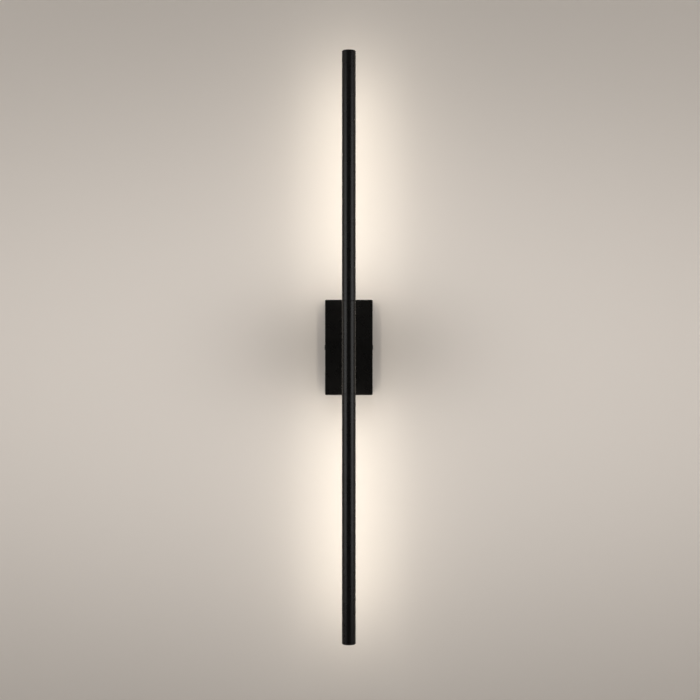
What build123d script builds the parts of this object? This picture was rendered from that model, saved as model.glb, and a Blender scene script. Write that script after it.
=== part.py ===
from build123d import *
import math
import os

# Tube wall light. Millimetres, +Z up, the wall is the plane y = 0 and the room is on the -Y side.
# The origin is the centre of the wall plate's back.

# ---- the tube ----
tube_length = 600.0            # tip to tip, end caps included
tube_radius = 7.0
tube_wall = 1.0
tube_out = 76.0                # wall to tube axis
light_slot_width = 10.0        # opening in the back of the tube that the light leaves by
hub_length = 94.0              # unlit middle length
seam = 0.2                     # gap between hub and tube
edge_break = 0.25
cap_thickness = 2.0
cap_edge_break = 0.7
cap_plug_length = 8.0

# ---- inside the tube; depths are measured from the tube's axis towards the wall ----
web_depth = -1.8               # front face of the web that the board lies on
web_thickness = 1.0
board_width = 8.0
board_thickness = 1.0
diffuser_above_chips = 0.8
diffuser_thickness = 1.1
rib_thickness = 0.8
rib_reach = 1.3                # how far a rib stands in from the tube's inner wall
chip_width = 2.8
chip_length = 3.5
chip_thickness = 0.7
smallest_chip_pitch = 8.3
board_end_gap = 0.5
chips_from_hub = 9.5
chips_from_tip = 6.5

# ---- hub core ----
core_tongue = 20.0             # length that plugs into each tube
core_slot_side_gap = 0.5       # leads to the sides of the wire slot in the core's back
tube_screw_radius = 1.0
tube_screw_length = 3.2
tube_screw_along = 10.0        # from the hub's end

# ---- stem ----
stem_radius = 6.0
stem_thread_radius = 5.0
stem_spigot_radius = 4.0
stem_bore_radius = 2.5
stem_spigot_depth = 1.0
washer_radius = 8.0
washer_thickness = 1.0
nut_flats = 14.0
nut_thickness = 3.0
thread_past_nut = 1.0
bush_wall = 0.6
bush_length = 5.0
bush_flange_radius = 3.6
bush_flange_thickness = 0.8

# ---- wall box ----
box_width = 50.0
box_height = 100.0
box_depth = 20.0
cover_wall = 1.2
cover_corner_radius = 1.4
cover_edge_radius = 0.6
plate_gap = 0.4                # between the plate's edge and the cover
plate_thickness = 1.5
tab_height = 10.0
tab_reach = 14.0
wall_hole_radius = 2.25
wall_hole_edge = 6.4           # hole centre to the plate's end
wall_screw_head = 4.0

cover_screw_radius = 1.5
cover_screw_out = 10.0         # from the wall
cover_screw_head_radius = 2.6
cover_screw_head_thickness = 1.0
cover_screw_recess = 0.5
cover_screw_past_tab = 0.6
hex_socket_flats = 1.8
hex_socket_depth = 0.6
grub_socket_flats = 1.0

# ---- supply side ----
grommet_bore_radius = 3.5
grommet_wall = 1.5
grommet_flange_radius = 6.4
grommet_flange_thickness = 2.0
grommet_length = 6.0
grommet_above_block_foot = 7.0

pole_pitch = 8.0
pole_count = 3
block_width = 16.0
block_depth = 13.0
block_groove = 1.6
sleeve_radius = 2.3
sleeve_length = 11.0
sleeve_bore_radius = 1.3
clamp_screw_radius = 1.2
clamp_screw_head_radius = 1.5
clamp_screw_spacing = 7.0
clamp_screw_sunk = 1.5
clamp_screw_slot = 0.5
lead_past_block_middle = 1.5
block_screw_radius = 1.2
block_screw_head_radius = 1.9
block_screw_head_thickness = 1.0

earth_screw_radius = 1.5
earth_screw_head_radius = 2.6
earth_screw_head_thickness = 1.6
earth_screw_from_side = 5.6
earth_screw_from_end = 4.6
earth_tag_radius = 2.8
earth_tag_thickness = 0.8
earth_barrel_radius = 1.5
earth_barrel_length = 5.0

# ---- driver ----
driver_margin = 3.4            # from the plate's side edge
driver_above_nut = 2.4
driver_below_screw = 1.0
driver_depth = 15.0
driver_wall = 1.2
driver_lip = 1.0
tape_thickness = 0.8
tape_margin = 3.0
circuit_side_gap = 0.6
circuit_end_gap = 1.0
circuit_thickness = 1.2
circuit_post_height = 2.6
circuit_post_radius = 1.4
part_from_edge = 1.0           # circuit parts to the board's edge
transformer_width = 12.0
transformer_depth = 7.6
choke_to_transformer = 2.9
capacitor_radius = 2.5
capacitor_length = 8.0
choke_radius = 3.6
choke_hole_radius = 1.4
choke_thickness = 3.4
lead_from_case = 0.8           # outermost leads to the case's side wall
input_lead_pitch = 3.6
output_lead_pitch = 2.6
lead_onto_circuit = 2.0

# ---- splice connectors ----
splice_width = 8.4
splice_height = 12.0
splice_thickness = 3.9
splice_from_plate = 1.45
splice_gap = 0.2               # between the plus and the minus connector
splice_corner_radius = 0.8
splice_port_pitch = 2.4
splice_port_depth = 8.0
splice_above_grommet = 1.6
splice_from_tab = 0.5
lead_into_splice = 6.0

# ---- leads ----
mains_lead_radius = 1.0
output_lead_radius = 0.65
led_lead_radius = 0.6
led_lead_offset = 0.8          # from the stem's axis
led_lead_end = 7.0             # past the hub's end
led_lead_bend = 4.0            # where the leads turn inside the hub
splice_bend = 7.5
climb_end = 8.0                # from the hub's end: the leads have climbed to the board
climb_length = 15.0
climb_bend = 30.0
output_lead_bend = 8.0
output_lead_turn = 1.5         # below the driver, and above the middle of the box
mains_lead_columns = {"live": 5.0, "neutral": 9.6}    # beside the terminal block
mains_lead_bow = (0.7, 0.6, 14.0)
mains_lead_turn = 4.0          # below the driver
mains_lead_bend = 20.0
earth_lead_over = 1.5          # past the tag's middle
earth_lead_turn = 3.0          # above the tag's barrel
earth_lead_into_tag = 3.5
earth_lead_bend = 4.0

# ---- clearances ----
slide_fit = 0.05
screw_fit = 0.1
lead_fit = 0.1
joint_fit = 0.1

# ---- worked out from the above ----
tube_inner = tube_radius - tube_wall
axis_y = -tube_out
hub_end = hub_length / 2
tube_start = hub_end + seam
tube_end = tube_length / 2 - cap_thickness
board_depth = web_depth + web_thickness
board_face = board_depth + board_thickness
diffuser_depth = board_face + chip_thickness + diffuser_above_chips
tongue_radius = tube_inner - joint_fit
tongue_depth = web_depth - joint_fit
tube_screw_z = hub_end + tube_screw_along
tube_screw_depth = tongue_depth - tube_screw_radius - joint_fit
tube_surface_x = math.sqrt(tube_radius ** 2 - (abs(tube_screw_depth) + tube_screw_radius) ** 2)
tube_screw_tip_x = tube_surface_x - tube_screw_length
core_slot_width = 2 * (led_lead_offset + led_lead_radius + core_slot_side_gap)
core_slot_depth = stem_spigot_depth - led_lead_bend - led_lead_radius - lead_fit

front_y = -box_depth
cover_inner_x = box_width / 2 - cover_wall
cover_inner_z = box_height / 2 - cover_wall
cover_inner_y = front_y + cover_wall
plate_x = cover_inner_x - plate_gap
plate_z = cover_inner_z - plate_gap
tab_inner_x = plate_x - plate_thickness
wall_hole_z = plate_z - wall_hole_edge

nut_back_y = cover_inner_y + washer_thickness + nut_thickness
stem_mouth_y = nut_back_y + thread_past_nut
bush_mouth_y = stem_mouth_y + bush_flange_thickness
nut_corner_radius = nut_flats / math.sqrt(3)

block_foot_z = -(wall_hole_z - wall_screw_head - driver_below_screw)
block_height = pole_pitch * pole_count
pole_out = plate_thickness + block_depth / 2
pole_z = [block_foot_z + pole_pitch * (pole_count - 0.5 - i) for i in range(pole_count)]
block_front_y = -plate_thickness - block_depth
grommet_x = (block_width / 2 + plate_x) / 2
grommet_z = block_foot_z + grommet_above_block_foot
earth_x = -(plate_x - earth_screw_from_side)
earth_z = -(plate_z - earth_screw_from_end)

driver_x = plate_x - driver_margin
driver_foot_z = nut_corner_radius + driver_above_nut
driver_top_z = wall_hole_z - wall_screw_head - driver_below_screw
driver_back_y = -plate_thickness - tape_thickness
driver_front_y = driver_back_y - driver_depth
circuit_back_y = driver_back_y - driver_wall - circuit_post_height
circuit_front_y = circuit_back_y - circuit_thickness
circuit_x = driver_x - driver_wall - circuit_side_gap
circuit_foot_z = driver_foot_z + driver_wall + circuit_end_gap
circuit_top_z = driver_top_z - driver_wall - circuit_end_gap
choke_z = circuit_foot_z + part_from_edge + choke_radius
transformer_foot_z = choke_z + choke_radius + choke_to_transformer
transformer_top_z = circuit_top_z - part_from_edge
lead_end_z = circuit_foot_z + lead_onto_circuit

splice_x = tab_inner_x - splice_from_tab - splice_width / 2
splice_foot_z = grommet_z + grommet_flange_radius + splice_above_grommet
splice_top_z = splice_foot_z + splice_height
splice_lead_end_z = splice_top_z - lead_into_splice
plus_out = plate_thickness + splice_from_plate + splice_thickness / 2
minus_out = plus_out + splice_thickness + splice_gap


# ---- helpers ----
def block(x_span, y_span, z_span):
    spans = (x_span, y_span, z_span)
    size = [high - low for low, high in spans]
    centre = [(high + low) / 2 for low, high in spans]
    return Pos(*centre) * Box(*size)


def rod_x(radius, x_span, y, z):
    return Pos(sum(x_span) / 2, y, z) * Rot(0, 90, 0) * Cylinder(radius, x_span[1] - x_span[0])


def rod_y(radius, y_span, x, z):
    return Pos(x, sum(y_span) / 2, z) * Rot(90, 0, 0) * Cylinder(radius, y_span[1] - y_span[0])


def rod_z(radius, z_span, x, y):
    return Pos(x, y, sum(z_span) / 2) * Cylinder(radius, z_span[1] - z_span[0])


def along_tube(section, z_span):
    """A section drawn about the tube's axis, run along it. Its +Y is towards the wall."""
    return Pos(0, axis_y, z_span[0]) * extrude(section, z_span[1] - z_span[0])


def strip(width, low, high):
    """A flat section, centred on the tube, between two depths."""
    return Pos(0, (low + high) / 2) * Rectangle(width, high - low)


def both_ways(piece):
    return [piece, mirror(piece, about=Plane.XY)]


def lead(points, radius, limits):
    """A wire along straight runs joined by tangent arcs; limits caps each bend's radius."""
    points = [Vector(*point) for point in points]
    bends = []
    for i, limit in enumerate(limits):
        before = points[i + 1] - points[i]
        after = points[i + 2] - points[i + 1]
        half_turn = math.radians(before.get_angle(after)) / 2
        largest = 0.45 * min(before.length, after.length) / math.tan(half_turn)
        bends.append(min(limit, largest))
    path = FilletPolyline(*points, radius=bends)
    wire = sweep(Plane(origin=path @ 0, z_dir=path % 0) * Circle(radius), path=path)
    print("lead radii", [round(bend, 1) for bend in bends], "volume error",
          round(wire.volume - path.length * math.pi * radius ** 2, 4))
    return wire


def save(name, *pieces):
    shape = pieces[0] if len(pieces) == 1 else Compound(children=list(pieces))
    export_step(shape, f"parts/{name}.step")


# ---- tube ----
def tube_section():
    inside = Circle(tube_radius - tube_wall / 2)
    section = Circle(tube_radius) - Circle(tube_inner)
    section += strip(2 * tube_radius, web_depth, web_depth + web_thickness) & inside
    rib_top = diffuser_depth - slide_fit
    ribs = strip(2 * tube_radius, rib_top - rib_thickness, rib_top) & inside
    section += ribs - Rectangle(2 * (tube_inner - rib_reach), 2 * tube_radius)
    return section - strip(light_slot_width, diffuser_depth, 2 * tube_radius)


def tube():
    body = along_tube(tube_section(), (tube_start, tube_end))
    for side in (-1, 1):
        span = sorted((side * tube_inner / 2, side * 2 * tube_radius))
        body -= rod_x(tube_screw_radius + slide_fit, span, axis_y + tube_screw_depth, tube_screw_z)
    return body


def tongue_section():
    return Circle(tongue_radius) & strip(2 * tube_radius, -2 * tube_radius, tongue_depth)


def end_cap():
    disc = rod_z(tube_radius, (tube_end, tube_end + cap_thickness), 0, axis_y)
    disc = chamfer(disc.faces().sort_by(Axis.Z)[-1].edges(), cap_edge_break)
    return disc + along_tube(tongue_section(), (tube_end - cap_plug_length, tube_end))


def led_board():
    section = strip(board_width, board_depth, board_face)
    return along_tube(section, (tube_start + board_end_gap, tube_end - board_end_gap))


def led_chips():
    first = hub_end + chips_from_hub
    last = tube_end - chips_from_tip
    gaps = int((last - first) / smallest_chip_pitch)
    y_span = (axis_y + board_face, axis_y + board_face + chip_thickness)
    x_span = (-chip_width / 2, chip_width / 2)
    chips = []
    for i in range(gaps + 1):
        z = first + i * (last - first) / gaps
        chips.append(block(x_span, y_span, (z - chip_length / 2, z + chip_length / 2)))
    return chips


def diffuser():
    top = diffuser_depth + diffuser_thickness
    half_width = math.sqrt((tube_inner - slide_fit) ** 2 - top ** 2)
    section = strip(2 * half_width, diffuser_depth, top)
    return along_tube(section, (tube_start + slide_fit, tube_end - slide_fit))


# ---- hub and stem ----
def hub_sleeve():
    sleeve = rod_z(tube_radius, (-hub_end, hub_end), 0, axis_y)
    sleeve = chamfer(sleeve.edges().filter_by(GeomType.CIRCLE), edge_break)
    sleeve -= rod_z(tube_inner, (-hub_end, hub_end), 0, axis_y)
    return sleeve - rod_y(stem_spigot_radius + slide_fit, (axis_y, front_y), 0, 0)


def hub_core():
    core = rod_z(tube_inner - slide_fit, (-hub_end, hub_end), 0, axis_y)
    for tongue in both_ways(along_tube(tongue_section(), (hub_end, hub_end + core_tongue))):
        core += tongue
    slot_x = (-core_slot_width / 2, core_slot_width / 2)
    core -= block(slot_x, (axis_y + core_slot_depth, axis_y + 2 * tube_radius), (-hub_end, hub_end))
    core -= rod_y(stem_spigot_radius, (axis_y + stem_spigot_depth - slide_fit, front_y), 0, 0)
    for side in (-1, 1):
        for z in (-tube_screw_z, tube_screw_z):
            span = sorted((side * (tube_screw_tip_x - slide_fit), side * 2 * tube_radius))
            core -= rod_x(tube_screw_radius, span, axis_y + tube_screw_depth, z)
    return core


def tube_screws():
    screws = []
    y = axis_y + tube_screw_depth
    for side in (-1, 1):
        span = sorted((side * tube_screw_tip_x, side * tube_surface_x))
        screw = rod_x(tube_screw_radius - slide_fit, span, y, tube_screw_z)
        screw -= hex_socket_x(side, tube_surface_x, y, tube_screw_z, grub_socket_flats)
        screws += both_ways(screw)
    return screws


def hex_socket_x(side, x, y, z, flats):
    """A hexagon socket cut into a screw's outer end, which faces sideways at x."""
    socket = extrude(RegularPolygon(flats / 2, 6, major_radius=False), hex_socket_depth, both=True)
    return Pos(side * x, y, z) * Rot(0, 90, 0) * socket


def stem():
    body = rod_y(stem_radius, (axis_y + tube_radius / 2, front_y), 0, 0)
    body -= rod_z(tube_radius + slide_fit / 2, (-2 * tube_radius, 2 * tube_radius), 0, axis_y)
    body += rod_y(stem_spigot_radius - slide_fit, (axis_y + stem_spigot_depth, front_y), 0, 0)
    body += rod_y(stem_thread_radius, (front_y, stem_mouth_y), 0, 0)
    return body - rod_y(stem_bore_radius, (axis_y, 0), 0, 0)


def stem_washer():
    y_span = (cover_inner_y, cover_inner_y + washer_thickness)
    washer = rod_y(washer_radius, y_span, 0, 0)
    return washer - rod_y(stem_thread_radius + screw_fit, y_span, 0, 0)


def stem_nut():
    hexagon = extrude(RegularPolygon(nut_flats / 2, 6, major_radius=False), nut_thickness)
    nut = Pos(0, nut_back_y, 0) * Rot(90, 0, 0) * hexagon
    return nut - rod_y(stem_thread_radius + slide_fit, (front_y, 0), 0, 0)


def stem_bush():
    outer = stem_bore_radius - slide_fit
    bush = rod_y(outer, (stem_mouth_y - bush_length, bush_mouth_y), 0, 0)
    bush += rod_y(bush_flange_radius, (stem_mouth_y, bush_mouth_y), 0, 0)
    return bush - rod_y(outer - bush_wall, (front_y, 0), 0, 0)


# ---- wall box ----
def canopy_cover():
    half_x, half_z = box_width / 2, box_height / 2
    cover = block((-half_x, half_x), (front_y, 0), (-half_z, half_z))
    cover = fillet(cover.edges().filter_by(Axis.Y), cover_corner_radius)
    cover = fillet(cover.faces().sort_by(Axis.Y)[0].edges(), cover_edge_radius)
    cover -= block((-cover_inner_x, cover_inner_x), (cover_inner_y, 0), (-cover_inner_z, cover_inner_z))
    cover -= rod_y(stem_thread_radius + screw_fit, (front_y, 0), 0, 0)
    for side in (-1, 1):
        hole = sorted((side * cover_inner_x, side * half_x))
        recess = sorted((side * (half_x - cover_screw_recess), side * half_x))
        cover -= rod_x(cover_screw_radius + screw_fit, hole, -cover_screw_out, 0)
        cover -= rod_x(cover_screw_head_radius + screw_fit, recess, -cover_screw_out, 0)
    return cover


def cover_screws():
    seat = box_width / 2 - cover_screw_recess
    head_end = seat + cover_screw_head_thickness
    tip = tab_inner_x - cover_screw_past_tab
    screws = []
    for side in (-1, 1):
        screw = rod_x(cover_screw_head_radius, sorted((side * seat, side * head_end)), -cover_screw_out, 0)
        shank = sorted((side * tip, side * seat))
        screw += rod_x(cover_screw_radius - slide_fit, shank, -cover_screw_out, 0)
        screws.append(screw - hex_socket_x(side, head_end, -cover_screw_out, 0, hex_socket_flats))
    return screws


def wall_plate():
    plate = block((-plate_x, plate_x), (-plate_thickness, 0), (-plate_z, plate_z))
    plate = fillet(plate.edges().filter_by(Axis.Y), cover_corner_radius)
    through = (-plate_thickness, 0)
    for side in (-1, 1):
        tab_x = sorted((side * tab_inner_x, side * plate_x))
        plate += block(tab_x, (-tab_reach, 0), (-tab_height / 2, tab_height / 2))
        plate -= rod_x(cover_screw_radius, tab_x, -cover_screw_out, 0)
        plate -= rod_y(wall_hole_radius, through, 0, side * wall_hole_z)
    plate -= rod_y(grommet_bore_radius + grommet_wall, through, grommet_x, grommet_z)
    plate -= rod_y(earth_screw_radius, through, earth_x, earth_z)
    for z in groove_z():
        plate -= rod_y(block_screw_radius, through, 0, z)
    return plate


def cable_grommet():
    grommet = rod_y(grommet_bore_radius + grommet_wall - slide_fit, (-grommet_length, 0),
                    grommet_x, grommet_z)
    grommet += rod_y(grommet_flange_radius, (-plate_thickness - grommet_flange_thickness, -plate_thickness),
                     grommet_x, grommet_z)
    return grommet - rod_y(grommet_bore_radius, (-grommet_length, 0), grommet_x, grommet_z)


# ---- supply side ----
def groove_z():
    return [(upper + lower) / 2 for upper, lower in zip(pole_z, pole_z[1:])]


def terminal_block():
    half_x = block_width / 2
    body = block((-half_x, half_x), (block_front_y, -plate_thickness),
                 (block_foot_z, block_foot_z + block_height))
    for z in groove_z():
        groove = (z - block_groove / 2, z + block_groove / 2)
        body -= block((-half_x, half_x), (block_front_y, block_front_y + block_groove), groove)
        body -= rod_y(block_screw_radius + screw_fit, (block_front_y, 0), 0, z)
        body -= rod_y(block_screw_head_radius + screw_fit, (block_front_y, block_screw_seat_y()), 0, z)
    for z in pole_z:
        body -= rod_x(sleeve_radius + slide_fit, (-half_x, half_x), -pole_out, z)
        for x in clamp_screw_x():
            body -= rod_y(clamp_screw_head_radius + screw_fit, (block_front_y, -pole_out), x, z)
    return body


def block_screw_seat_y():
    return -pole_out - sleeve_radius - screw_fit


def clamp_screw_x():
    return (-clamp_screw_spacing / 2, clamp_screw_spacing / 2)


def terminal_sleeves():
    span = (-sleeve_length / 2, sleeve_length / 2)
    sleeves = []
    for z in pole_z:
        sleeve = rod_x(sleeve_radius, span, -pole_out, z)
        for x in clamp_screw_x():
            sleeve -= rod_y(clamp_screw_radius + slide_fit, (block_front_y, -pole_out), x, z)
        sleeves.append(sleeve - rod_x(sleeve_bore_radius, span, -pole_out, z))
    return sleeves


def terminal_screws():
    head_y = block_front_y + clamp_screw_sunk
    head_foot_y = -pole_out - sleeve_radius - slide_fit
    tip_y = -pole_out - mains_lead_radius - slide_fit
    screws = []
    for z in pole_z:
        for x in clamp_screw_x():
            screw = rod_y(clamp_screw_head_radius, (head_y, head_foot_y), x, z)
            screw += rod_y(clamp_screw_radius, (head_y, tip_y), x, z)
            slot_x = (x - clamp_screw_head_radius, x + clamp_screw_head_radius)
            slot_z = (z - clamp_screw_slot / 2, z + clamp_screw_slot / 2)
            screws.append(screw - block(slot_x, (head_y, head_y + clamp_screw_slot), slot_z))
    return screws


def terminal_block_screws():
    screws = []
    for z in groove_z():
        seat_y = block_screw_seat_y()
        screw = rod_y(block_screw_radius - slide_fit, (seat_y, 0), 0, z)
        screw += rod_y(block_screw_head_radius, (seat_y - block_screw_head_thickness, seat_y), 0, z)
        screws.append(screw)
    return screws


def earth_screw():
    seat_y = -plate_thickness - earth_tag_thickness
    screw = rod_y(earth_screw_radius - slide_fit, (seat_y, 0), earth_x, earth_z)
    head = (seat_y - earth_screw_head_thickness, seat_y)
    return screw + rod_y(earth_screw_head_radius, head, earth_x, earth_z)


def earth_barrel_y():
    return -plate_thickness - earth_barrel_radius


def earth_tag():
    y_span = (-plate_thickness - earth_tag_thickness, -plate_thickness)
    tag = rod_y(earth_tag_radius, y_span, earth_x, earth_z)
    barrel_z = (earth_z + earth_tag_radius, earth_z + earth_tag_radius + earth_barrel_length)
    tag += block((earth_x - earth_barrel_radius, earth_x + earth_barrel_radius), y_span,
                 (earth_z, barrel_z[1]))
    tag += rod_z(earth_barrel_radius, barrel_z, earth_x, earth_barrel_y())
    tag -= rod_z(mains_lead_radius + slide_fit, barrel_z, earth_x, earth_barrel_y())
    return tag - rod_y(earth_screw_radius + screw_fit, y_span, earth_x, earth_z)


# ---- driver ----
def driver_tape():
    return block((-driver_x + tape_margin, driver_x - tape_margin), (driver_back_y, -plate_thickness),
                 (driver_foot_z + tape_margin, driver_top_z - tape_margin))


def lead_exits():
    """Where each lead crosses the driver's lower wall, and its radius."""
    reach = driver_x - driver_wall - lead_from_case
    neutral_x, plus_x = mains_lead_radius - reach, reach - output_lead_radius
    return {"neutral": (neutral_x, mains_lead_radius),
            "live": (neutral_x + input_lead_pitch, mains_lead_radius),
            "plus": (plus_x, output_lead_radius),
            "minus": (plus_x - output_lead_pitch, output_lead_radius)}


def driver_case():
    inner_x, inner_y = driver_x - driver_wall, driver_back_y - driver_wall
    inner_z = (driver_foot_z + driver_wall, driver_top_z - driver_wall)
    lid_y = driver_front_y + driver_wall
    case = block((-driver_x, driver_x), (lid_y, driver_back_y), (driver_foot_z, driver_top_z))
    case = fillet(case.edges().filter_by(Axis.Y), driver_wall)
    case -= block((-inner_x, inner_x), (lid_y, inner_y), inner_z)
    for x in (-circuit_x + circuit_post_radius, circuit_x - circuit_post_radius):
        for z in (circuit_foot_z + circuit_post_radius, circuit_top_z - circuit_post_radius):
            case += rod_y(circuit_post_radius, (circuit_back_y, inner_y), x, z)
    for x, radius in lead_exits().values():
        case -= rod_z(radius + lead_fit, (driver_foot_z, inner_z[0]), x, lead_y(radius))
    return case


def lead_y(radius):
    """Height at which a wire of this radius lies on the circuit board."""
    return circuit_front_y - radius - slide_fit


def driver_lid():
    lid_y = driver_front_y + driver_wall
    lid = block((-driver_x, driver_x), (driver_front_y, lid_y), (driver_foot_z, driver_top_z))
    lid = fillet(lid.edges().filter_by(Axis.Y), driver_wall)
    inset = driver_wall + joint_fit
    lip_x = driver_x - inset
    lip_z = (driver_foot_z + inset, driver_top_z - inset)
    lid += block((-lip_x, lip_x), (lid_y, lid_y + driver_lip), lip_z)
    hollow_x = lip_x - driver_wall
    hollow_z = (lip_z[0] + driver_wall, lip_z[1] - driver_wall)
    return lid - block((-hollow_x, hollow_x), (lid_y, lid_y + driver_lip), hollow_z)


def driver_board():
    return block((-circuit_x, circuit_x), (circuit_front_y, circuit_back_y),
                 (circuit_foot_z, circuit_top_z))


def driver_transformer():
    x_span = (-transformer_width / 2, transformer_width / 2)
    core = block(x_span, (circuit_front_y - transformer_depth, circuit_front_y),
                 (transformer_foot_z, transformer_top_z))
    notch_y = (circuit_front_y - transformer_depth * 3 / 4, circuit_front_y - transformer_depth / 4)
    notch_height = (transformer_top_z - transformer_foot_z) / 4
    core -= block(x_span, notch_y, (transformer_foot_z, transformer_foot_z + notch_height))
    return core - block(x_span, notch_y, (transformer_top_z - notch_height, transformer_top_z))


def driver_capacitors():
    z_span = (transformer_top_z - capacitor_length, transformer_top_z)
    x = circuit_x - capacitor_radius - part_from_edge
    y = circuit_front_y - capacitor_radius
    return [rod_z(capacitor_radius, z_span, side * x, y) for side in (-1, 1)]


def driver_choke():
    y_span = (circuit_front_y - choke_thickness, circuit_front_y)
    ring = rod_y(choke_radius, y_span, 0, choke_z)
    ring = fillet(ring.edges().filter_by(GeomType.CIRCLE), choke_thickness / 4)
    return ring - rod_y(choke_hole_radius, y_span, 0, choke_z)


# ---- leads ----
def splice_ports():
    return [splice_x + step * splice_port_pitch for step in (-1, 0, 1)]


def splice_connectors():
    connectors = []
    for out in (plus_out, minus_out):
        body = block((splice_x - splice_width / 2, splice_x + splice_width / 2),
                     (-out - splice_thickness / 2, -out + splice_thickness / 2),
                     (splice_foot_z, splice_top_z))
        body = fillet(body.edges().filter_by(Axis.Z), splice_corner_radius)
        for x in splice_ports():
            port_z = (splice_top_z - splice_port_depth, splice_top_z)
            body -= rod_z(output_lead_radius + lead_fit, port_z, x, -out)
        connectors.append(body)
    return connectors


def driver_output_leads():
    leads = []
    port_x = splice_ports()[2]
    for name, out in (("plus", plus_out), ("minus", minus_out)):
        x, radius = lead_exits()[name]
        y = lead_y(radius)
        points = [(x, y, lead_end_z), (x, y, driver_foot_z - output_lead_turn),
                  (port_x, -out, output_lead_turn), (port_x, -out, splice_lead_end_z)]
        leads.append(lead(points, radius, (output_lead_bend, output_lead_bend)))
    return leads


def led_leads(way):
    """The plus and minus leads of the upper (way 1) or lower (way -1) tube."""
    port_x = splice_ports()[1 if way > 0 else 0]
    climb_z = hub_end - climb_end
    turn_y = axis_y + stem_spigot_depth - led_lead_bend
    board_y = axis_y + board_face + led_lead_radius + slide_fit
    leads = []
    for side, out in ((-1, plus_out), (1, minus_out)):
        x, z = side * led_lead_offset, way * led_lead_offset
        points = [(port_x, -out, splice_lead_end_z), (port_x, -out, z), (x, -out, z),
                  (x, turn_y, z), (x, turn_y, way * (climb_z - climb_length)),
                  (x, board_y, way * climb_z), (x, board_y, way * (hub_end + led_lead_end))]
        bends = (min(splice_bend, z - splice_top_z), -out - bush_mouth_y, led_lead_bend,
                 climb_bend, climb_bend)
        leads.append(lead(points, led_lead_radius, bends))
    return leads


def mains_lead(name, z):
    x, radius = lead_exits()[name]
    y = lead_y(radius)
    bow_x, bow_y, rise = mains_lead_bow
    column_x = -block_width / 2 - mains_lead_columns[name]
    points = [(-lead_past_block_middle, -pole_out, z), (column_x, -pole_out, z),
              (column_x - bow_x, -pole_out - bow_y, z + rise), (x, y, driver_foot_z - mains_lead_turn),
              (x, y, lead_end_z)]
    return lead(points, radius, (mains_lead_columns[name] - slide_fit, mains_lead_bend, mains_lead_bend))


def earth_lead():
    barrel_top = earth_z + earth_tag_radius + earth_barrel_length
    points = [(-lead_past_block_middle, -pole_out, pole_z[2]),
              (earth_x + earth_lead_over, -pole_out, pole_z[2]),
              (earth_x, earth_barrel_y(), barrel_top + earth_lead_turn),
              (earth_x, earth_barrel_y(), barrel_top - earth_lead_into_tag)]
    return lead(points, mains_lead_radius - slide_fit, (earth_lead_bend, earth_lead_bend))


os.makedirs("parts", exist_ok=True)
for name, build in (("tube", tube), ("end_cap", end_cap), ("led_board", led_board),
                    ("diffuser", diffuser)):
    upper, lower = both_ways(build())
    save(f"upper_{name}", upper)
    save(f"lower_{name}", lower)
upper_chips = led_chips()
save("upper_led_chips", *upper_chips)
save("lower_led_chips", *[mirror(chip, about=Plane.XY) for chip in upper_chips])
save("upper_led_leads", *led_leads(1))
save("lower_led_leads", *led_leads(-1))
save("hub_sleeve", hub_sleeve())
save("hub_core", hub_core())
save("tube_screws", *tube_screws())
save("stem", stem())
save("stem_washer", stem_washer())
save("stem_nut", stem_nut())
save("stem_bush", stem_bush())
save("canopy_cover", canopy_cover())
save("cover_screws", *cover_screws())
save("wall_plate", wall_plate())
save("cable_grommet", cable_grommet())
save("terminal_block", terminal_block())
save("terminal_sleeves", *terminal_sleeves())
save("terminal_screws", *terminal_screws())
save("terminal_block_screws", *terminal_block_screws())
save("earth_screw", earth_screw())
save("earth_tag", earth_tag())
save("driver_tape", driver_tape())
save("driver_case", driver_case())
save("driver_lid", driver_lid())
save("driver_board", driver_board())
save("driver_transformer", driver_transformer())
save("driver_capacitors", *driver_capacitors())
save("driver_choke", driver_choke())
save("driver_output_leads", *driver_output_leads())
save("splice_connectors", *splice_connectors())
save("live_lead", mains_lead("live", pole_z[0]))
save("neutral_lead", mains_lead("neutral", pole_z[1]))
save("earth_lead", earth_lead())
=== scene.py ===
import math

import bpy
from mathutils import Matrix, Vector


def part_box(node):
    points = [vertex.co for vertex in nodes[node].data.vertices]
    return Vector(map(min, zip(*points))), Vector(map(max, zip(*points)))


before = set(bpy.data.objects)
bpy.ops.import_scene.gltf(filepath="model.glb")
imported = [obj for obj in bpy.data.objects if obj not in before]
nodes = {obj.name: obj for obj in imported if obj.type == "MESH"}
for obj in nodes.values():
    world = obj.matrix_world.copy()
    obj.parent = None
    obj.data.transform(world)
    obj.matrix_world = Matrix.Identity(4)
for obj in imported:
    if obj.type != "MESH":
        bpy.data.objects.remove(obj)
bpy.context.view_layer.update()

# Metres, +Z up. The wall is the plane y = 0 and the room is on the -Y side.

# ---- places that follow from the frame ----
tube_low, tube_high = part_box("hub_sleeve")
tube_axis_y = (tube_low.y + tube_high.y) / 2
chips_low, chips_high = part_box("upper_led_chips")
chip_length = 0.0035
chip_count = 29
chip_pitch = (chips_high.z - chips_low.z - chip_length) / (chip_count - 1)
first_chip_z = chips_low.z + chip_length / 2
diffuser_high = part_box("upper_diffuser")[1]


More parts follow.
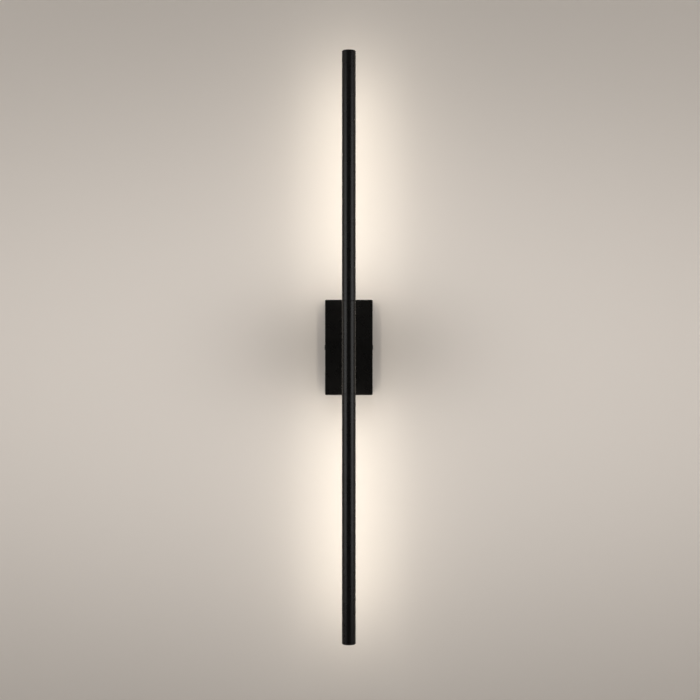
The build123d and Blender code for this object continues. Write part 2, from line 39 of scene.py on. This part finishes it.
# ---- node helpers ----
class Tree:
    """The nodes of a material or a world, and the shader that they feed."""

    def __init__(self, owner, shader):
        owner.use_nodes = True
        self.nodes = owner.node_tree.nodes
        self.links = owner.node_tree.links
        self.shader = self.nodes[shader]

    def add(self, kind, **values):
        node = self.nodes.new(kind)
        for name, value in values.items():
            setattr(node, name, value)
        return node

    def put(self, socket, value):
        """Links another node's output, or sets a number or a colour."""
        if isinstance(value, bpy.types.NodeSocket):
            self.links.new(value, socket)
        elif socket.type == "RGBA":
            socket.default_value = (*value, 1)
        else:
            socket.default_value = value

    def set(self, **values):
        """Shader sockets by name, with _ for a space."""
        for name, value in values.items():
            self.put(self.shader.inputs[name.replace("_", " ")], value)

    def split(self, vector):
        node = self.add("ShaderNodeSeparateXYZ")
        self.links.new(vector, node.inputs[0])
        return node.outputs

    def math(self, operation, *values):
        node = self.add("ShaderNodeMath", operation=operation)
        for socket, value in zip(node.inputs, values):
            self.put(socket, value)
        return node.outputs[0]

    def hypot(self, first, second):
        squares = [self.math("POWER", value, 2) for value in (first, second)]
        return self.math("SQRT", self.math("ADD", *squares))

    def spread(self, value, low, high, start=0.3, end=0.7):
        """Maps value from start..end to low..high."""
        node = self.add("ShaderNodeMapRange")
        for name, number in (("Value", value), ("From Min", start), ("From Max", end),
                             ("To Min", low), ("To Max", high)):
            self.put(node.inputs[name], number)
        return node.outputs[0]

    def mix(self, share, first, second):
        node = self.add("ShaderNodeMix", data_type="RGBA")
        self.put(node.inputs[0], share)
        self.put(node.inputs[6], first)
        self.put(node.inputs[7], second)
        return node.outputs[2]


class Finish(Tree):
    """A material. Texture coordinates are the object's own, in metres."""

    def __init__(self, name):
        self.material = bpy.data.materials.new(name)
        super().__init__(self.material, "Principled BSDF")

    def place(self, stretch=None):
        coordinates = self.add("ShaderNodeTexCoord").outputs["Object"]
        if stretch is None:
            return coordinates
        mapping = self.add("ShaderNodeMapping")
        mapping.inputs["Scale"].default_value = stretch
        self.links.new(coordinates, mapping.inputs["Vector"])
        return mapping.outputs["Vector"]

    def axes(self):
        return self.split(self.place())

    def facing(self):
        return self.split(self.add("ShaderNodeNewGeometry").outputs["Normal"])

    def noise(self, size, detail=2, stretch=None):
        """Noise with features about that size."""
        node = self.add("ShaderNodeTexNoise")
        self.links.new(self.place(stretch), node.inputs["Vector"])
        node.inputs["Scale"].default_value = 1 / size
        node.inputs["Detail"].default_value = detail
        return node.outputs["Fac"]

    def cells(self, size, feature="F1", output="Distance"):
        node = self.add("ShaderNodeTexVoronoi", feature=feature)
        self.links.new(self.place(), node.inputs["Vector"])
        node.inputs["Scale"].default_value = 1 / size
        return node.outputs[output]

    def bump(self, height, distance, after=None):
        node = self.add("ShaderNodeBump")
        node.inputs["Distance"].default_value = distance
        node.inputs["Strength"].default_value = 1
        self.links.new(height, node.inputs["Height"])
        if after is not None:
            self.links.new(after, node.inputs["Normal"])
        return node.outputs[0]

    def chips_along(self, z):
        """How many chip pitches from the chip nearest the hub, in either tube."""
        up = self.math("ABSOLUTE", z)
        return self.math("DIVIDE", self.math("SUBTRACT", up, first_chip_z), chip_pitch)

    def off_chip(self, z):
        """Distance along the tube from the middle of the nearest chip."""
        return self.math("MULTIPLY", self.math("PINGPONG", self.chips_along(z), 0.5), chip_pitch)


# ---- finishes ----
def black_paint():
    """Satin black powder coat: orange peel, a fine grain and slightly uneven gloss."""
    coat = Finish("black_paint")
    tint = coat.spread(coat.noise(size=0.03, detail=3), 0, 1)
    peel = coat.bump(coat.noise(size=0.0011, detail=1), distance=0.00001)
    grain = coat.bump(coat.noise(size=0.00028), distance=0.000006, after=peel)
    coat.set(Base_Color=coat.mix(tint, (0.0044, 0.0040, 0.0037), (0.0068, 0.0063, 0.0059)),
             Roughness=coat.spread(coat.noise(size=0.009, detail=4), 0.25, 0.32),
             Normal=grain)
    return coat.material


def zinc_steel():
    """Rolled sheet and turned steel under thin zinc: faint spangle and a drawn grain."""
    bright = (0.66, 0.67, 0.68)
    steel = Finish("zinc_steel")
    cloud = steel.mix(steel.noise(size=0.012, detail=4), (0.50, 0.51, 0.53), bright)
    spangle = steel.spread(steel.cells(size=0.0035, output="Color"), 0, 0.22, 0, 1)
    drawn = steel.noise(size=0.0004, detail=3, stretch=(1, 1, 0.04))
    steel.set(Base_Color=steel.mix(spangle, cloud, bright), Metallic=1,
              Roughness=steel.spread(drawn, 0.30, 0.44),
              Normal=steel.bump(drawn, distance=0.000004))
    return steel.material


def black_screw():
    """Blackened steel, a little oily, worn to a dull shine where it was handled."""
    screw = Finish("black_screw")
    worn = screw.spread(screw.noise(size=0.0007, detail=4), 0, 0.5, 0.45, 0.75)
    screw.set(Base_Color=screw.mix(worn, (0.030, 0.030, 0.031), (0.12, 0.117, 0.113)),
              Metallic=0.8,
              Roughness=screw.spread(screw.noise(size=0.0004, detail=3), 0.24, 0.38),
              Normal=screw.bump(screw.noise(size=0.00025), distance=0.000006))
    return screw.material


def core_aluminium():
    """Machined aluminium, anodised black, with the cutter's lines round it. Its near-black colour is also
    painted shade in the seam gaps where it shows.
    """
    core = Finish("core_aluminium")
    lines = core.noise(size=0.00022, stretch=(0.02, 0.02, 1))
    shade = core.noise(size=0.008, detail=3)
    core.set(Base_Color=core.mix(shade, (0.012, 0.012, 0.013), (0.020, 0.020, 0.022)),
             Metallic=0.4, Roughness=core.spread(lines, 0.42, 0.54),
             Normal=core.bump(lines, distance=0.000005))
    return core.material


def opal_diffuser():
    """Opal strip: warm light, brightest down the middle, with a soft spot over each chip."""
    fade = 0.005
    opal = Finish("opal_diffuser")
    x, _, z = opal.axes()
    ripple = opal.math("COSINE", opal.math("MULTIPLY", opal.chips_along(z), math.tau))
    spot = opal.spread(ripple, 0.86, 1, -1, 1)
    side = opal.math("DIVIDE", opal.math("ABSOLUTE", x), diffuser_high.x)
    across = opal.spread(opal.math("POWER", side, 2), 1, 0.62, 0, 1)
    up = opal.math("ABSOLUTE", z)
    starts = opal.spread(up, 0, 1, chips_low.z - fade, chips_low.z + fade)
    ends = opal.spread(up, 1, 0, chips_high.z - fade, chips_high.z + fade)
    along = opal.math("MULTIPLY", starts, ends)
    light = opal.math("MULTIPLY", opal.math("MULTIPLY", spot, across), along)
    opal.set(Base_Color=(0.66, 0.65, 0.62), Roughness=0.45, Emission_Strength=1,
             Emission_Color=opal.mix(light, (0.02, 0.014, 0.008), (0.80, 0.72, 0.58)),
             Normal=opal.bump(opal.noise(size=0.0006), distance=0.000005))
    return opal.material


def board_white():
    """White solder mask over two copper rails, with tinned pads at each chip."""
    rail_x, rail_half_width = 0.0029, 0.0005
    pad_x, pad_half_width, pad_half_length = 0.0018, 0.0004, 0.0014
    board = Finish("board_white")
    x, _, z = board.axes()
    side = board.math("ABSOLUTE", x)
    rail = board.math("COMPARE", side, rail_x, rail_half_width)
    pad = board.math("MULTIPLY", board.math("COMPARE", side, pad_x, pad_half_width),
                     board.math("LESS_THAN", board.off_chip(z), pad_half_length))
    mask = board.mix(board.noise(size=0.004, detail=3), (0.84, 0.84, 0.81), (0.90, 0.90, 0.87))
    railed = board.mix(board.math("MULTIPLY", rail, 0.5), mask, (0.74, 0.70, 0.60))
    board.set(Base_Color=board.mix(pad, railed, (0.60, 0.60, 0.58)),
              Metallic=board.math("MULTIPLY", pad, 0.8),
              Roughness=board.spread(board.noise(size=0.002), 0.34, 0.42),
              Normal=board.bump(rail, distance=0.00003))
    return board.material


def led_phosphor():
    """A white package round a warm yellow window."""
    window_radius, window_edge = 0.00105, 0.0002
    chip = Finish("led_phosphor")
    x, _, z = chip.axes()
    from_middle = chip.hypot(x, chip.off_chip(z))
    window = chip.spread(from_middle, 1, 0, window_radius, window_radius + window_edge)
    grain = chip.noise(size=0.00015)
    phosphor = chip.mix(grain, (0.90, 0.66, 0.16), (0.95, 0.78, 0.30))
    chip.set(Base_Color=chip.mix(window, (0.86, 0.85, 0.80), phosphor), Roughness=0.35,
             Emission_Strength=1, Emission_Color=chip.mix(window, (0, 0, 0), (1, 0.82, 0.50)),
             Normal=chip.bump(grain, distance=0.00001))
    return chip.material


def circuit_green():
    """Green solder mask with tracks under it."""
    board = Finish("circuit_green")
    edges = board.cells(size=0.0035, feature="DISTANCE_TO_EDGE")
    tracks = board.spread(edges, 1, 0, 0.10, 0.14)
    mask = board.mix(board.noise(size=0.006, detail=3), (0.012, 0.105, 0.045), (0.020, 0.135, 0.060))
    board.set(Base_Color=board.mix(tracks, mask, (0.035, 0.22, 0.09)), Roughness=0.32,
              Normal=board.bump(tracks, distance=0.00003))
    return board.material


def moulded(name, light, dark, rough, grain=0.0005, depth=0.00001):
    """Moulded plastic or rubber: slight flow in the colour and a fine spark-eroded grain."""
    part = Finish(name)
    part.set(Base_Color=part.mix(part.noise(size=0.01, detail=3), dark, light),
             Roughness=part.spread(part.noise(size=0.0025, detail=3), rough - 0.04, rough + 0.06),
             Normal=part.bump(part.noise(size=grain), distance=depth))
    return part


def white_plastic():
    return moulded("white_plastic", (0.82, 0.82, 0.80), (0.76, 0.76, 0.73), rough=0.42).material


def clear_grey_plastic():
    part = moulded("clear_grey_plastic", (0.58, 0.59, 0.60), (0.50, 0.51, 0.52), rough=0.22)
    part.set(Transmission_Weight=0.35, IOR=1.58)
    return part.material


def bush_nylon():
    part = moulded("bush_nylon", (0.78, 0.76, 0.70), (0.70, 0.68, 0.61), rough=0.46)
    part.set(Subsurface_Weight=0.15, Subsurface_Scale=0.001)
    return part.material


def black_rubber():
    return moulded("black_rubber", (0.024, 0.024, 0.025), (0.014, 0.014, 0.014), rough=0.66,
                   grain=0.0004, depth=0.00002).material


def ferrite():
    return moulded("ferrite", (0.10, 0.095, 0.09), (0.06, 0.058, 0.055), rough=0.55,
                   grain=0.0003, depth=0.00003).material


def foam_tape():
    """Open foam: small cells, each darker in its hollow: painted shade."""
    tape = Finish("foam_tape")
    cell = tape.cells(size=0.00045)
    tape.set(Base_Color=tape.mix(cell, (0.52, 0.52, 0.49), (0.80, 0.80, 0.76)), Roughness=0.9,
             Normal=tape.bump(cell, distance=0.0001))
    return tape.material


def clamp_brass():
    """Turned brass, slightly tarnished."""
    brass = Finish("clamp_brass")
    tarnish = brass.spread(brass.noise(size=0.003, detail=4), 0, 1)
    lines = brass.noise(size=0.00018, stretch=(0.05, 1, 1))
    brass.set(Base_Color=brass.mix(tarnish, (0.62, 0.42, 0.15), (0.80, 0.61, 0.28)), Metallic=1,
              Roughness=brass.spread(lines, 0.22, 0.38),
              Normal=brass.bump(lines, distance=0.000005))
    return brass.material


def capacitor_sleeve():
    """Shrink sleeve with a pale stripe down one side."""
    stripe_start = 0.93
    sleeve = Finish("capacitor_sleeve")
    stripe = sleeve.math("GREATER_THAN", sleeve.facing()["X"], stripe_start)
    blue = sleeve.mix(sleeve.noise(size=0.002, detail=3), (0.014, 0.022, 0.060), (0.022, 0.034, 0.085))
    sleeve.set(Base_Color=sleeve.mix(stripe, blue, (0.55, 0.58, 0.62)), Roughness=0.24,
               Normal=sleeve.bump(sleeve.noise(size=0.0012), distance=0.00002))
    return sleeve.material


def choke_copper():
    """Enamelled wire wound round the ring, darker down the grooves between turns: painted shade."""
    turns = 26
    choke = Finish("choke_copper")
    low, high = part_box("driver_choke")
    middle = (low + high) / 2
    x, _, z = choke.axes()
    angle = choke.math("ARCTAN2", choke.math("SUBTRACT", z, middle.z),
                       choke.math("SUBTRACT", x, middle.x))
    wire = choke.math("ABSOLUTE", choke.math("SINE", choke.math("MULTIPLY", angle, turns / 2)))
    # dark between turns: painted shade in the grooves
    choke.set(Base_Color=choke.mix(wire, (0.22, 0.07, 0.02), (0.72, 0.33, 0.12)), Metallic=0.85,
              Roughness=0.28, Coat_Weight=0.5, Coat_Roughness=0.1,
              Normal=choke.bump(wire, distance=0.00025))
    return choke.material


def insulation(name, colour, stripe=None, stripe_start=0.35):
    """Extruded insulation: slight sheen, fine marks, and stripes front and back if it has any."""
    lead = Finish(name)
    dark = tuple(channel * 0.85 for channel in colour)
    shade = lead.mix(lead.noise(size=0.004, detail=3), dark, colour)
    if stripe is not None:
        frontal = lead.math("ABSOLUTE", lead.facing()["Y"])
        shade = lead.mix(lead.math("GREATER_THAN", frontal, stripe_start), shade, stripe)
    lead.set(Base_Color=shade, Roughness=lead.spread(lead.noise(size=0.001), 0.34, 0.44),
             Normal=lead.bump(lead.noise(size=0.0003), distance=0.000005))
    return lead.material


def lead_brown():
    return insulation("lead_brown", (0.16, 0.055, 0.022))


def lead_blue():
    return insulation("lead_blue", (0.02, 0.10, 0.42))


def lead_green_yellow():
    return insulation("lead_green_yellow", (0.03, 0.30, 0.05), stripe=(0.80, 0.62, 0.03))


def lead_red_black():
    return insulation("lead_red_black", (0.38, 0.018, 0.014), stripe=(0.02, 0.02, 0.02), stripe_start=0.93)


FINISHES = (black_paint, zinc_steel, black_screw, core_aluminium, opal_diffuser, board_white, led_phosphor,
            circuit_green, white_plastic, clear_grey_plastic, bush_nylon, black_rubber, foam_tape,
            clamp_brass, ferrite, capacitor_sleeve, choke_copper, lead_brown, lead_blue,
            lead_green_yellow, lead_red_black)


def finish_nodes():
    """Gives every slot its finish, and each finish the plain name that the slot had."""
    finishes = {make.__name__: make() for make in FINISHES}
    for node in nodes.values():
        for slot in node.material_slots:
            slot.material = finishes[slot.material.name.split(".")[0]]
    for name, finish in finishes.items():
        bpy.data.materials.remove(bpy.data.materials[name])
        finish.name = name


# ---- the room ----
wall_half_width = 2.4
wall_top = 1.4
wall_y = 0.0001
wall_hole_x = 0.0235            # behind the box the wall is open, so light from behind reaches its back
wall_hole_z = 0.0485
floor_z = -1.5
floor_reach = 3.6
floor_shown = 0.55              # how bright the floor is to the camera, over its own shading

# painted light on the wall, which only the camera sees: a pool of light round the lamp, with painted shade
# about the box
painted_light_colour = (0.345, 0.316, 0.288)
painted_light_reach = (0.08, 0.47)       # it falls off over this distance from the lamp
painted_light_stretch = 2                # and reaches this much further sideways
painted_light_far = 0.31                 # the share of it that is left beyond
painted_light_middle_z = -0.03
painted_shade_reach = (0.11, 0.063)     # painted shade about the box, this far sideways and up
painted_shade_depth = 0.65


def stage_mesh(name, points, faces, material):
    mesh = bpy.data.meshes.new(name)
    mesh.from_pydata(points, [], faces)
    mesh.materials.append(material)
    thing = bpy.data.objects.new(name, mesh)
    bpy.context.collection.objects.link(thing)


def painted_wall_light(paint):
    """How much painted light the wall shows at each place, with painted shade about the box."""
    x, _, z = paint.axes()
    height = paint.math("SUBTRACT", z, painted_light_middle_z)
    away = paint.hypot(height, paint.math("DIVIDE", x, painted_light_stretch))
    falloff = paint.spread(away, 1, painted_light_far, *painted_light_reach)
    falloff.node.interpolation_type = "SMOOTHSTEP"
    # painted shade about the box: the painted light is dimmed there
    near = paint.hypot(paint.math("DIVIDE", x, painted_shade_reach[0]), paint.math("DIVIDE", z, painted_shade_reach[1]))
    shade = paint.math("EXPONENT", paint.math("MULTIPLY", paint.math("POWER", near, 2), -1))
    return paint.math("MULTIPLY", falloff, paint.spread(shade, 1, 1 - painted_shade_depth, 0, 1))


def wall_paint():
    """Warm off-white paint, with painted light and painted shade as emission that only the camera sees,
    which a camera behind the wall sees through.
    """
    paint = Finish("wall_paint")
    rays = paint.add("ShaderNodeLightPath").outputs
    colour = paint.mix(paint.noise(size=0.35), (0.715, 0.655, 0.590), (0.735, 0.671, 0.606))
    paint.set(Base_Color=colour, Roughness=0.8, Specular_IOR_Level=0.2,
              # painted light and painted shade, as emission that only the camera sees
              Emission_Color=paint.mix(painted_wall_light(paint), (0, 0, 0), painted_light_colour),
              Emission_Strength=rays["Is Camera Ray"])
    backfacing = paint.add("ShaderNodeNewGeometry").outputs["Backfacing"]
    clear = paint.add("ShaderNodeBsdfTransparent")
    shown = paint.add("ShaderNodeMixShader")
    paint.put(shown.inputs[0], paint.math("MULTIPLY", rays["Is Camera Ray"], backfacing))
    paint.put(shown.inputs[1], paint.shader.outputs[0])
    paint.put(shown.inputs[2], clear.outputs[0])
    paint.links.new(shown.outputs[0], paint.nodes["Material Output"].inputs["Surface"])
    return paint.material


def floor_paint():
    paint = Finish("floor_paint")
    seen = paint.add("ShaderNodeLightPath").outputs["Is Camera Ray"]
    paint.set(Base_Color=paint.mix(paint.noise(size=0.4), (0.70, 0.68, 0.65), (0.73, 0.71, 0.68)),
              Roughness=0.7, Emission_Color=(0.95, 0.92, 0.88),
              Emission_Strength=paint.math("MULTIPLY", seen, floor_shown))
    return paint.material


def build_wall():
    """Three by three upright quads facing the room, without the middle one."""
    xs = (-wall_half_width, -wall_hole_x, wall_hole_x, wall_half_width)
    zs = (floor_z, -wall_hole_z, wall_hole_z, wall_top)
    points = [(x, wall_y, z) for z in zs for x in xs]
    quads = [(row, column) for row in range(3) for column in range(3) if (row, column) != (1, 1)]
    corners = [row * len(xs) + column for row, column in quads]
    faces = [(corner, corner + 1, corner + len(xs) + 1, corner + len(xs)) for corner in corners]
    stage_mesh("wall", points, faces, wall_paint())


def build_floor():
    corners = ((-1, -1), (1, -1), (1, 1), (-1, 1))
    points = [(x * floor_reach, y * floor_reach, floor_z) for x, y in corners]
    stage_mesh("floor", points, [(0, 1, 2, 3)], floor_paint())


# ---- lights ----
side_angle = math.radians(60)   # the side lights stand this far round from the camera's direction
side_distance = 1.2
side_z = 0.03
world_colour = (0.85, 0.83, 0.80)
world_fill = 0.03
world_seen = 0.85               # for the camera, and for what metal mirrors from behind the wall
glow_gap = 0.0001               # from a diffuser's face to its light
glow_width = 0.0096


def area_light(name, size, power, place, target, colour=(1, 1, 1)):
    data = bpy.data.lights.new(name, "AREA")
    data.shape = "RECTANGLE"
    data.size, data.size_y = size
    data.energy = power
    data.color = colour
    light = bpy.data.objects.new(name, data)
    light.location = place
    light.rotation_euler = (Vector(target) - Vector(place)).to_track_quat("-Z", "Y").to_euler()
    light.visible_camera = False
    bpy.context.collection.objects.link(light)
    return light


def light_room():
    for side in (-1, 1):
        area_light(f"side_{side}", size=(1.0, 0.9), power=3.35,
                   place=(side * side_distance * math.sin(side_angle),
                          tube_axis_y - side_distance * math.cos(side_angle), side_z),
                   target=(0, tube_axis_y, side_z), colour=(1, 0.985, 0.97))
    area_light("top", size=(1.6, 1.0), power=17, place=(0, -1.6, 2.2), target=(0, tube_axis_y, 0),
               colour=(1, 0.99, 0.98))
    area_light("behind", size=(1.2, 1.2), power=9, place=(0.5, 1.4, 0.8), target=(0, 0, 0))


def light_world():
    """Dim, but bright to the camera and in what metal mirrors from behind the wall."""
    world = bpy.data.worlds.new("studio")
    bpy.context.scene.world = world
    sky = Tree(world, "Background")
    rays = sky.add("ShaderNodeLightPath").outputs
    direction = sky.split(sky.add("ShaderNodeTexCoord").outputs["Generated"])
    backward = sky.spread(direction["Y"], 0, 1, 0, 0.2)
    mirrored = sky.math("MULTIPLY", rays["Is Glossy Ray"], backward)
    seen = sky.math("MAXIMUM", rays["Is Camera Ray"], mirrored)
    sky.set(Color=world_colour, Strength=sky.spread(seen, world_fill, world_seen, 0, 1))


def light_tubes():
    """The light that each diffuser throws at the wall, from just outside its face."""
    length = chips_high.z - chips_low.z
    y = diffuser_high.y + glow_gap
    for side in (-1, 1):
        z = side * (chips_high.z + chips_low.z) / 2
        glow = area_light(f"glow_{side}", size=(glow_width, length), power=0.073, place=(0, y, z),
                          target=(0, 1, z), colour=(1, 0.96, 0.865))
        glow.visible_glossy = False


# ---- camera ----
camera_place = (0.0012, -1.57, -0.0027)
camera_lens = 76
camera_sensor = 36


def place_camera():
    data = bpy.data.cameras.new("camera")
    data.sensor_width = camera_sensor
    data.lens = camera_lens
    camera = bpy.data.objects.new("camera", data)
    camera.location = camera_place
    camera.rotation_euler = (math.pi / 2, 0, 0)
    bpy.context.collection.objects.link(camera)
    bpy.context.scene.camera = camera


finish_nodes()
build_wall()
build_floor()
light_room()
light_world()
light_tubes()
place_camera()
bpy.context.scene.view_settings.view_transform = "Standard"
